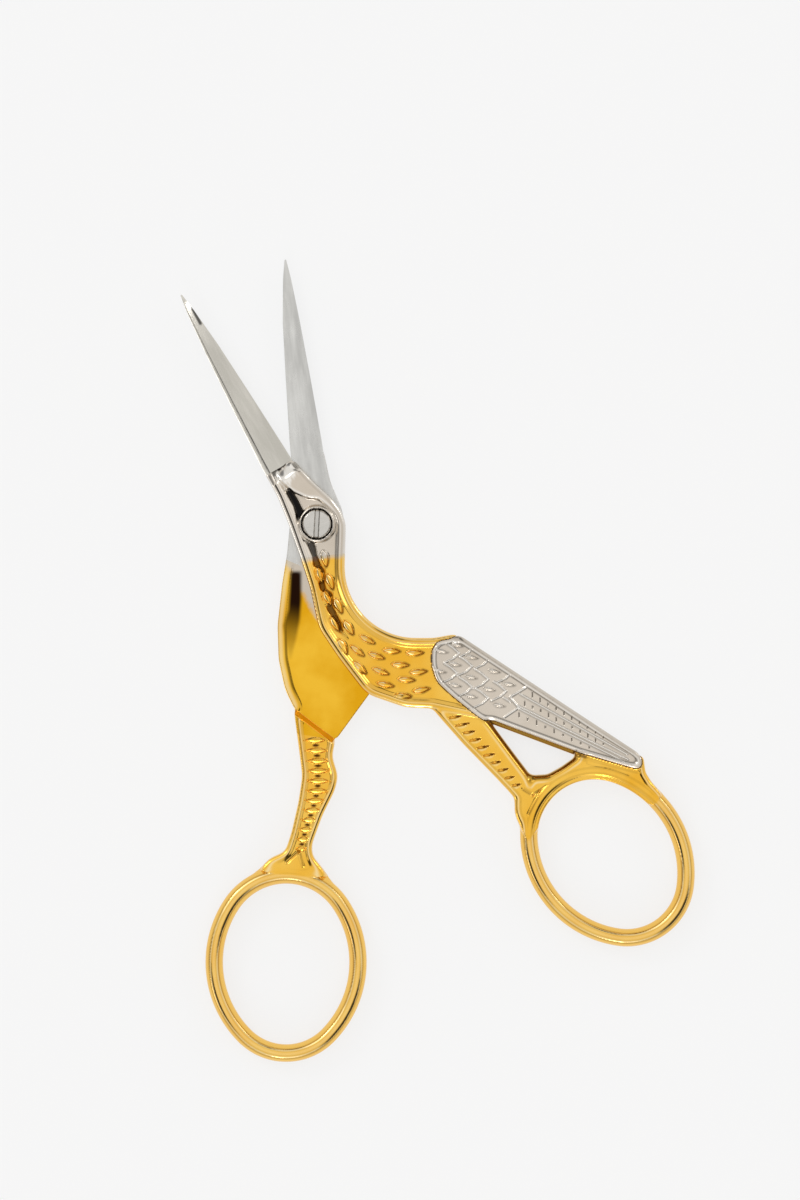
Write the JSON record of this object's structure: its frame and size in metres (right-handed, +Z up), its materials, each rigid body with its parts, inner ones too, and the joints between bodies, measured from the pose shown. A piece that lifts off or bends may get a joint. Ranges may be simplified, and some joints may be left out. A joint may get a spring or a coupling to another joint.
{
  "type": "embroidery scissors",
  "caption": "Small embroidery scissors shaped like a stork: long pointed blades as its beak, gilt body with raised feathers, silvery wing, ribbed legs and oval finger rings.",
  "frame": {"origin": "middle of the bounding box in plan, on the plane the scissors lie on", "axes": "+Z up out of the flat-lying scissors, through the pivot screw from the rear half to the front half; +Y towards the blade tips, along the longest side of the open pair; +X to the side the front half's finger ring swings out to"},
  "size_m": [0.0734, 0.1144, 0.0036],
  "materials": {
    "nickel_blade": "satin",
    "nickel_plate": "polished",
    "gold_plate": "polished",
    "screw_steel": "satin"
  },
  "bodies": {
    "rear_half": {"rear_blade": "nickel_blade", "rear_body": "gold_plate", "rear_leg": "gold_plate", "rear_finger_ring": "gold_plate", "pivot_screw": "screw_steel"},
    "front_half": {"front_blade": "nickel_blade", "stork_head": "nickel_plate", "stork_body": "gold_plate", "wing_plate_front": "nickel_plate", "wing_plate_back": "nickel_plate", "front_leg": "gold_plate", "front_finger_ring": "gold_plate"}
  },
  "joints": [
    {"name": "pivot", "type": "hinge", "parent": "rear_half", "child": "front_half", "pos_m": [-0.01721, 0.01948, 0.0018], "axis": [0, 0, 1], "range_deg": [-23.8, 66.2]}
  ]
}
